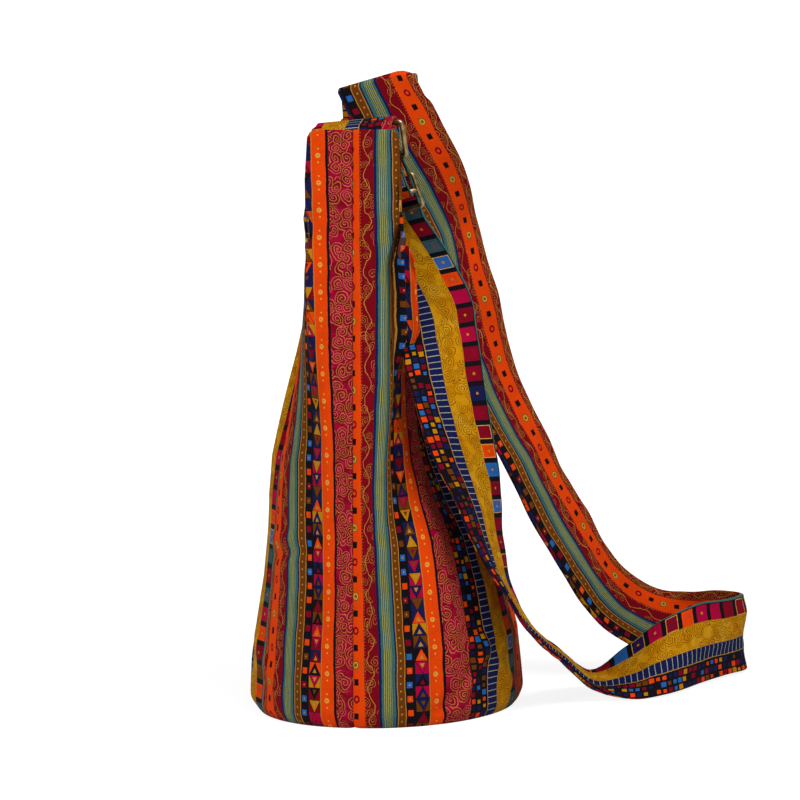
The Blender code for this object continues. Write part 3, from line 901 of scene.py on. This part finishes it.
def make_panel(name, side, node, outer, inner):
    """One panel's cloth, with its wrinkles, thickened inwards."""
    shares = list(HEM_ROWS)
    shares += [lerp(HEM_ROWS[-1], 1.0, (i + 1) / PANEL_ROWS) for i in range(PANEL_ROWS)]
    places = [[(u, rim_height(u, side) * v) for v in shares] for u in panel_columns()]
    points = [[panel_point(u, z, side) for u, z in row] for row in places]
    uvs = [[panel_print(u, z, side) for u, z in row] for row in places]
    panel = grid_object(name, points, uvs, flip=side < 0)
    work = bmesh.new()
    work.from_mesh(panel.data)
    work.normal_update()
    flat = [place for row in places for place in row]
    steps = [vert.normal * wrinkle(*place, side) for vert, place in zip(work.verts, flat)]
    for vert, step in zip(work.verts, steps):
        vert.co += step
    work.to_mesh(panel.data)
    work.free()
    panel.data.materials.append(outer)
    panel.data.materials.append(inner)
    solid = panel.modifiers.new("cloth", "SOLIDIFY")
    solid.thickness = CLOTH_SHOWN
    solid.offset = -1.0
    solid.use_even_offset = False
    solid.material_offset = 1
    solid.material_offset_rim = 0
    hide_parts(node)
    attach(panel, "bag")
    return panel


def make_base(finish):
    """The round bottom: a canvas disc with a rounded edge."""
    radius = BASE_RADIUS - TUCK - CLOTH - 2 * GAP
    reach = BASE_THICKNESS / 2
    profile = [(0.0, 0.0), (radius * 0.5, 0.0), (radius - 0.004, 0.0)]
    for angle in half_turn(8):
        angle -= math.pi / 2
        profile.append((radius - reach + reach * math.cos(angle), reach + reach * math.sin(angle)))
    profile += [(r, BASE_THICKNESS) for r in (radius - 0.006, radius * 0.5, 0.0)]
    work = bmesh.new()
    turns = [2 * math.pi * k / BASE_SIDES for k in range(BASE_SIDES)]
    rings = []
    for r, z in profile:
        own = turns if r else turns[:1]
        rings.append([work.verts.new((r * math.cos(a), r * math.sin(a), z)) for a in own])
    for low, high in zip(rings, rings[1:]):
        for k in range(BASE_SIDES):
            places = ((low, k), (low, k + 1), (high, k + 1), (high, k))
            corners = [ring[j % len(ring)] for ring, j in places]
            work.faces.new(list(dict.fromkeys(corners)))
    bmesh.ops.recalc_face_normals(work, faces=work.faces)
    for face in work.faces:
        face.smooth = True
    base = mesh_object("base_cloth", work)
    base.data.materials.append(finish)
    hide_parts("base_panel")
    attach(base, "bag")
    return base


# Strap


def ring_axis():
    return Vector((0, math.cos(RING_TILT), math.sin(RING_TILT)))


def ring_down():
    straight = Vector((-math.sin(RING_LEAN), 0, -math.cos(RING_LEAN)))
    return (straight - ring_axis() * straight.dot(ring_axis())).normalized()


def strap_frame():
    """The straight stretch from the ring down: its top, its direction, across and out."""
    down = STRAP_DOWN.normalized()
    side = Vector((0, 1, 0))
    across = (side - down * side.dot(down)).normalized()
    return RING_TOP + ring_down() * RING_HEIGHT, down, across, down.cross(across)


# Places of the strap's lines, and of the sewn ends' paths: away and along
LAP_LINES = (LAP_LENGTH, 0.0155, 0.013, 0.0105, 0.008, 0.0055, 0.003)
BEHIND_LINES = [0.0025 * i for i in range(1, 20)]
INSIDE_LINES = 14
STRAP_STEP = 0.004
MEETING_LINE = 6
LOOSE_START = 8
LOOSE_END = 32
LOOSE_RUN = 14
FOLLOWS_FROM = 0.002
FOLLOWS_TO = 0.008
STRIP_INSET = (0.0, 0.00025, 0.0007, 0.0014, 0.0028, 0.0055, 0.009, 0.013, 0.018, 0.0225, 0.027)
TAB_RISE = [(0, -TAB_TAIL), (0, -0.019), (0, -0.012), (0.0004, -0.005), (0.003, 0.0005)]
TAB_BACK = [(0.0035, -0.004), (0.0004, -0.009), (0, -0.013), (0, -0.019), (0, -TAB_TAIL)]
TAB_LOOP = (70, 230, 10)
END_RISE = [(1, -0.018), (1, -0.0155), (1, -0.013), (0.98, -0.0095), (0.86, -0.005)]
END_BACK = (-0.003, -0.006, -0.0085)
END_SHARE = 0.97


def cross_line(middle, across, share=1.0):
    return middle - across * STRAP_WIDTH * share / 2, middle + across * STRAP_WIDTH * share / 2


def top_lines():
    """The strap's start: its lapped end, round the ring's bar, down behind the adjuster."""
    start, down, across, out = strap_frame()
    bar = ring_axis()
    reach = RING_BAR + LOOP_CLEARANCE + STRAP_THICKNESS / 2
    behind = ADJUSTER_BAR + 2 * LOOP_CLEARANCE + STRAP_THICKNESS * 1.5
    lines = []
    for s in LAP_LINES:
        lines.append((start + down * s + out * reach, lerp(bar, across, smooth(s / LAP_LENGTH))))
    loop_out = down.cross(bar).normalized()
    loop_down = loop_out.cross(bar)
    if loop_down.dot(down) < 0:
        loop_down = -loop_down
    for angle in half_turn(14):
        offset = loop_out * math.cos(angle) - loop_down * math.sin(angle)
        lines.append((start + offset * reach, bar))
    for s in BEHIND_LINES:
        back = lerp(reach, behind, smooth((s - BEHIND_START) / BEHIND_RUN))
        lines.append((start + down * s - out * back, lerp(bar, across, smooth(s / TWIST_RUN))))
    return [cross_line(p, w.normalized()) for p, w in lines]


def fold_lines():
    """The strap's far end: over the slanting fold and down inside the far ear."""
    across = FOLD_ACROSS.normalized()
    lines = []
    for angle in half_turn(8):
        offset = Vector((math.cos(angle), 0, math.sin(angle))) * FOLD_RADIUS
        lines.append(cross_line(FOLD_MIDDLE + offset, across, FOLD_SHARE))
    down_x = FOLD_MIDDLE.x - FOLD_RADIUS
    for i in range(INSIDE_LINES):
        z = lerp(INSIDE_TOP, EAR_TOP - STRAP_SEWN, i / (INSIDE_LINES - 1))
        inside = -(seam_x(z) - CLOTH - 2 * GAP - STRAP_THICKNESS)
        x = lerp(down_x, inside, smooth((FOLD_FOOT - z) / FOLD_RUN))
        turned = lerp(across, Vector((0, 1, 0)), smooth((TURN_FROM - z) / TURN_RUN))
        lines.append(cross_line(Vector((x, 0, z)), turned.normalized()))
    return lines


def spline_point(a, b, c, d, t):
    """A point of the smooth curve through b and c."""
    return 0.5 * (
        2 * b + (c - a) * t + (2 * a - 5 * b + 4 * c - d) * t**2 + (3 * b - a - 3 * c + d) * t**3
    )


def strap_edges():
    """Left and right edge points along the whole strap, and where the straight top ends."""
    edges = top_lines()
    top_count = len(edges)
    route = []
    for middle, way, *share in STRAP_ROUTE:
        route.append(cross_line(Vector(middle) / 1000, Vector(way).normalized(), *share))
    keys = [edges[-4], edges[-1], *route, *fold_lines()[:2]]
    for i in range(1, len(keys) - 2):
        quad = keys[i - 1 : i + 3]
        length = ((keys[i + 1][0] + keys[i + 1][1]) - (keys[i][0] + keys[i][1])).length / 2
        count = max(1, round(length / STRAP_STEP))
        for step in range(1, count + 1):
            t = step / count
            edges.append(tuple(spline_point(*(k[j] for k in quad), t) for j in (0, 1)))
    return edges + fold_lines()[1:], top_count


def strip_object(name, edges, start, loose=None, cuts=STRAP_CUTS):
    """A flat tube of cloth through cross lines. start is the print's place along, and loose
    how much each line may wrinkle."""
    places = [e / STRAP_WIDTH for e in STRIP_INSET]
    places += [1 - w for w in reversed(places[:-1])]
    points, uvs = [], []
    length = start
    for i, (left, right) in enumerate(edges):
        before, after = edges[max(0, i - 1)], edges[min(len(edges) - 1, i + 1)]
        if i:
            length += (lerp(left, right, 0.5) - lerp(*edges[i - 1], 0.5)).length * 100
        ease = loose[i] if loose else 0.0
        points.append(([], []))
        uvs.append(([], []))
        for w in places:
            along = lerp(after[0], after[1], w) - lerp(before[0], before[1], w)
            out = along.cross(right - left).normalized()
            e = min(w, 1 - w) * STRAP_WIDTH / (STRAP_THICKNESS / 2)
            half = STRAP_THICKNESS / 2 * math.sqrt(1 - (1 - min(1.0, e)) ** 2)
            wave = uneven(w, length, 1, *BROAD_WAVE) + uneven(w, length, 1, *FINE_WAVE)
            puff = 1 + ease * (PUFF + PUFF_VARIES * uneven(w, length, 1, *PUFF_WAVE))
            middle = lerp(left, right, w) + out * wave * ease
            droop = CORNER_DROOP * smooth((w - DROOP_FROM) / DROOP_SPAN) ** 2
            middle.z -= droop * smooth((middle.z - DROOP_HEIGHT) / DROOP_RUN)
            for skin, (first, width) in enumerate(cuts):
                stand = out * half * puff
                points[i][skin].append(middle - stand if skin else middle + stand)
                uvs[i][skin].append((first + w * width + REPEAT, length))
    work = bmesh.new()
    layer = work.loops.layers.uv.new("print")
    last = len(places) - 1
    rows = []
    for face, back in points:
        upper = [work.verts.new(p) for p in face]
        lower = [upper[0], *(work.verts.new(p) for p in back[1:-1]), upper[last]]
        rows.append((upper, lower))

    def add(corners, places_of, skin):
        """A printed face; skin is 0 for the cloth's face and 1 for its back."""
        made = work.faces.new(corners)
        made.smooth = True
        for loop, (row, column) in zip(made.loops, places_of):
            loop[layer].uv = uvs[row][skin][column]

    for i in range(len(rows) - 1):
        for j in range(last):
            ring = [(i, j), (i + 1, j), (i + 1, j + 1), (i, j + 1)]
            add([rows[a][0][b] for a, b in ring], ring, 0)
            add([rows[a][1][b] for a, b in ring][::-1], ring[::-1], 1)
    for i, turn in ((0, 1), (len(rows) - 1, -1)):
        for j in range(last):
            corners = [rows[i][0][j], rows[i][0][j + 1], rows[i][1][j + 1], rows[i][1][j]]
            corners = list(dict.fromkeys(corners))[::turn]
            add(corners, [(i, j)] * len(corners), 0)
    bmesh.ops.recalc_face_normals(work, faces=work.faces)
    return mesh_object(name, work)


def edge_length(edges):
    """The length along the middle of a strip's cross lines."""
    middles = [lerp(left, right, 0.5) for left, right in edges]
    return sum((b - a).length for a, b in zip(middles, middles[1:]))


def make_strap(finish):
    """The strap in two pieces, which meet behind the adjuster."""
    edges, top_count = strap_edges()
    cut = top_count - MEETING_LINE
    upper_edges, lower_edges = edges[: cut + 1], edges[cut:]
    upper = strip_object("strap_top_loop", upper_edges, 0.0)
    end = len(lower_edges) - LOOSE_END
    loose = []
    for i in range(len(lower_edges)):
        loose.append(smooth((i - LOOSE_START) / LOOSE_RUN) * smooth((end - i) / LOOSE_RUN))
    lower = strip_object("shoulder_strap_cloth", lower_edges, LOWER_CUT_START, loose)
    for piece in (upper, lower):
        piece.data.materials.append(finish)
    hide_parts("shoulder_strap")
    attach(lower, "bag")
    start, down, _, _ = strap_frame()
    follows, stays = start - down * FOLLOWS_FROM, start + down * FOLLOWS_TO
    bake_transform(upper)
    flat = (STRAP_WIDTH, edge_length(upper_edges))
    flat = (STRAP_WIDTH, edge_length(lower_edges))
    return upper, lower


def path_strip(name, points, across, share, start, finish, rests_on, **print_cuts):
    """A strip that keeps its direction across and follows a path."""
    edges = [cross_line(p, across, share) for p in points]
    piece = strip_object(name, edges, start, **print_cuts)
    flat = (STRAP_WIDTH * share, edge_length(edges))
    piece.data.materials.append(finish)
    return piece


def make_tab(finish):
    """The sewn tab: flat on the near ear's inside, over its edge and round the ring's bar."""
    axis = ring_axis()
    wall = Vector((seam_x(1.0) - seam_x(0), 0, 1.0)).normalized()
    up = (wall - axis * wall.dot(axis)).normalized()
    inwards = up.cross(axis)
    if inwards.x > 0:
        inwards = -inwards
    face = seam_x(RING_TOP.z) - CLOTH - TAB_SEAT - STRAP_THICKNESS / 2
    root = Vector((face, RING_TOP.y, RING_TOP.z))
    reach = RING_BAR + TAB_CLEARANCE + STRAP_THICKNESS / 2
    to_bar = RING_TOP - root
    bar_x, bar_z = to_bar.dot(inwards), to_bar.dot(up)
    lap = STRAP_THICKNESS + GAP
    loop = []
    first, turn, steps = TAB_LOOP
    for step in range(steps + 1):
        angle = math.radians(first + turn * step / steps)
        loop.append((bar_x - reach * math.cos(angle), bar_z + reach * math.sin(angle)))
    back = [(lap + a, b) for a, b in TAB_BACK]
    points = [root + inwards * a + up * b for a, b in TAB_RISE + loop + back]
    name, under = "ring_tab_cloth", ["front_panel"]
    tab = path_strip(name, points, axis, 1.0, TAB_CUT_START, finish, under, cuts=TAB_CUTS)
    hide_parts("ring_tab")
    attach(tab, "bag")
    return tab


def adjuster_middle():
    start, down, _, _ = strap_frame()
    return start + down * ADJUSTER_DOWN


def make_strap_end(finish):
    """The strap's sewn end: round the adjuster's middle bar and up over the lapped end."""
    _, down, across, out = strap_frame()
    middle = adjuster_middle()
    reach = ADJUSTER_BAR + LOOP_CLEARANCE + STRAP_THICKNESS / 2
    front = RING_BAR + LOOP_CLEARANCE + STRAP_THICKNESS * 1.5 + GAP
    path = [(front * share, s) for share, s in END_RISE]
    path += [(reach * math.cos(a), reach * math.sin(a)) for a in half_turn(12)]
    path += [(-reach, s) for s in END_BACK]
    points = [middle + out * n + down * s for n, s in path]
    name, under = "strap_end_cloth", ["strap_adjuster"]
    end = path_strip(name, points, across, END_SHARE, END_CUT_START, finish, under)
    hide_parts("strap_end")
    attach(end, "adjuster")
    return end


# Metal


CORNER_STEPS = 8


def wire_frame(name, place, size, corner, bar, finish):
    """A closed rectangle of round wire with round corners, sized to the wire's middle. place
    is its middle, its direction across and its direction down."""
    middle, across, down = place
    width, height = size
    curve = bpy.data.curves.new(name, "CURVE")
    curve.dimensions = "3D"
    curve.bevel_depth = bar
    curve.bevel_resolution = 6
    points = []
    for sx, sy, start in ((1, 1, 0), (-1, 1, 90), (-1, -1, 180), (1, -1, 270)):
        for step in range(CORNER_STEPS + 1):
            angle = math.radians(start + step * 90 / CORNER_STEPS)
            x = sx * (width / 2 - corner) + corner * math.cos(angle)
            y = sy * (height / 2 - corner) + corner * math.sin(angle)
            points.append(middle + across * x + down * y)
    spline = curve.splines.new("POLY")
    spline.points.add(len(points) - 1)
    for point, place in zip(spline.points, points):
        point.co = (*place, 1)
    spline.use_cyclic_u = True
    curve.materials.append(finish)
    made = new_object(name, curve)
    return made


def make_metal(finish):
    """The ring, the adjuster and the adjuster's middle bar."""
    middle = RING_TOP + ring_down() * RING_HEIGHT / 2
    width = STRAP_WIDTH + 2 * (STRAP_FIT + RING_CORNER)
    place, size = (middle, ring_axis(), ring_down()), (width, RING_HEIGHT)
    ring = wire_frame("ring_wire", place, size, RING_CORNER, RING_BAR, finish)
    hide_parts("strap_ring")
    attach(ring, "ring")
    _, down, across, _ = strap_frame()
    width = STRAP_WIDTH + 2 * (STRAP_FIT + ADJUSTER_CORNER)
    height = ADJUSTER_HEIGHT - 2 * ADJUSTER_BAR
    place, size = (adjuster_middle(), across, down), (width, height)
    outer = wire_frame("adjuster_wire", place, size, ADJUSTER_CORNER, ADJUSTER_BAR, finish)
    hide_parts("strap_adjuster")
    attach(outer, "adjuster")
    work = bmesh.new()
    ends = {"radius1": ADJUSTER_BAR, "radius2": ADJUSTER_BAR}
    bmesh.ops.create_cone(work, cap_ends=True, segments=24, depth=width, **ends)
    for face in work.faces:
        face.smooth = len(face.verts) == 4
    bar = mesh_object("adjuster_bar", work)
    turn = across.to_track_quat("Z", "X").to_matrix().to_4x4()
    bar.matrix_world = Matrix.Translation(adjuster_middle()) @ turn
    bar.data.materials.append(finish)
    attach(bar, "adjuster")


# Stage

WHITE = (1, 1, 1, 1)
PAPER = (0.86, 0.86, 0.86, 1)
FLOOR_CORNERS = ((-6, -6), (6, -6), (6, 6), (-6, 6))
FLOOR_GLOW = 1.24
GLOW_MIDDLE = 0.52
GLOW_RISE = 0.6
GLOW_RANGE = (0.7, 1.0)
WORLD_LIGHT = 0.3
LIGHT_AIM = Vector((0, 0.04, 0.2))
LIGHTS = (
    ("key", (1.9, -1.4, 1.3), 0.8, 31),
    ("fill", (1.6, 1.9, 1.2), 1.2, 5),
    ("top", (0.6, 1.0, 1.8), 0.9, 32),
)
CAMERA_AIM = Vector((-0.004, 0.0145, 0.205))
CAMERA_TURNS = (105.0, 8.5, 1.9)
CAMERA_AWAY = 4.0
LENS = 270


def mixed_shader(tree, share, low, high, output):
    """Shows one shader where share is 0 and another where it is 1."""
    mix = tree.nodes.new("ShaderNodeMixShader")
    for place, socket in enumerate((share, low.outputs[0], high.outputs[0])):
        tree.links.new(socket, mix.inputs[place])
    tree.links.new(mix.outputs[0], tree.nodes[output].inputs["Surface"])


def make_floor():
    """A pale floor that takes a soft shadow and is white elsewhere."""
    work = bmesh.new()
    work.faces.new([work.verts.new((x, y, 0)) for x, y in FLOOR_CORNERS])
    floor = mesh_object("floor", work)
    finish, tree, shader = new_material("floor_paper")
    fill(shader, {"Base Color": PAPER, "Roughness": 0.9})
    glow = tree.nodes.new("ShaderNodeEmission")
    fill(glow, {"Color": WHITE, "Strength": FLOOR_GLOW})
    rays = tree.nodes.new("ShaderNodeLightPath")
    seen = Term(tree, rays.outputs["Is Camera Ray"])
    x, y = object_plane(tree)
    low, high = GLOW_RANGE
    far = (x * x + y * y).op("SQRT") * GLOW_RISE + GLOW_MIDDLE
    far = far.op("MINIMUM", high).op("MAXIMUM", low)
    seen = seen.either(Term(tree, rays.outputs["Is Glossy Ray"])) * far
    mixed_shader(tree, seen.socket, shader, glow, "Material Output")
    floor.data.materials.append(finish)


def make_light():
    """Soft studio light, and a white background for the camera alone."""
    world = bpy.data.worlds.new("studio")
    bpy.context.scene.world = world
    world.use_nodes = True
    tree = world.node_tree
    plain = tree.nodes["Background"]
    fill(plain, {"Color": WHITE, "Strength": WORLD_LIGHT})
    white = tree.nodes.new("ShaderNodeBackground")
    fill(white, {"Color": WHITE, "Strength": 1.0})
    rays = tree.nodes.new("ShaderNodeLightPath")
    mixed_shader(tree, rays.outputs["Is Camera Ray"], plain, white, "World Output")
    for name, place, size, power in LIGHTS:
        light = bpy.data.lights.new(name, "AREA")
        light.size = size
        light.energy = power
        lamp = new_object(name, light)
        lamp.location = place
        aim = LIGHT_AIM - Vector(place)
        lamp.rotation_euler = aim.to_track_quat("-Z", "Y").to_euler()


def make_camera():
    """The camera: low, and leaning a little."""
    azimuth, elevation, roll = (math.radians(a) for a in CAMERA_TURNS)
    level = Vector((math.sin(azimuth), -math.cos(azimuth), 0)) * math.cos(elevation)
    back = Vector((level.x, level.y, math.sin(elevation)))
    right = Vector((0, 0, 1)).cross(back).normalized()
    up = back.cross(right)
    cos, sin = math.cos(roll), math.sin(roll)
    right, up = right * cos - up * sin, right * sin + up * cos
    data = bpy.data.cameras.new("camera")
    data.lens = LENS
    data.sensor_width = 36
    data.clip_end = 100
    camera = new_object("camera", data)
    turn = Matrix((right, up, back)).transposed().to_4x4()
    camera.matrix_world = Matrix.Translation(CAMERA_AIM + back * CAMERA_AWAY) @ turn
    bpy.context.scene.camera = camera
    bpy.context.scene.view_settings.view_transform = "Standard"


make_floor()
make_light()
make_camera()
stripe_print = print_group()
cloth = cloth_material("print_cotton", stripe_print)
reverse = cloth_material("print_cotton_reverse", stripe_print, fade=0.18)
brass = brass_material()

front = make_panel("front_panel_cloth", -1, "front_panel", cloth, reverse)
back_cloth = make_panel("back_panel_cloth", 1, "back_panel", cloth, reverse)
make_base(base_material())
make_tab(cloth)
make_strap(cloth)
make_strap_end(cloth)
make_metal(brass)
